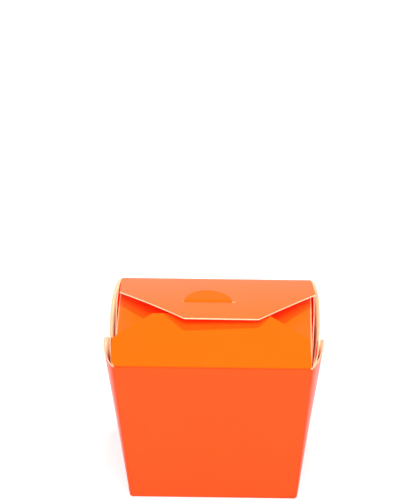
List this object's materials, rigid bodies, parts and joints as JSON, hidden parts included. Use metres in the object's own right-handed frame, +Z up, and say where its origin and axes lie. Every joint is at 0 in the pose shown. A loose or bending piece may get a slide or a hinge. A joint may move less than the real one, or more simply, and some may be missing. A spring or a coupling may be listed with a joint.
{
  "type": "noodle takeaway box",
  "caption": "Closed paperboard food pail with flared walls, folded corner pockets on its sides and a slotted lid locked by the front flap's tongue.",
  "frame": {"origin": "middle of the base, on the surface the box stands on", "axes": "+Z up, -Y towards the front wall, +X to the right of the front wall as it is faced"},
  "size_m": [0.102, 0.076, 0.0929],
  "materials": {
    "coated_board": "glossy coating"
  },
  "bodies": {
    "root": {"noodle_box": "coated_board"}
  },
  "joints": []
}
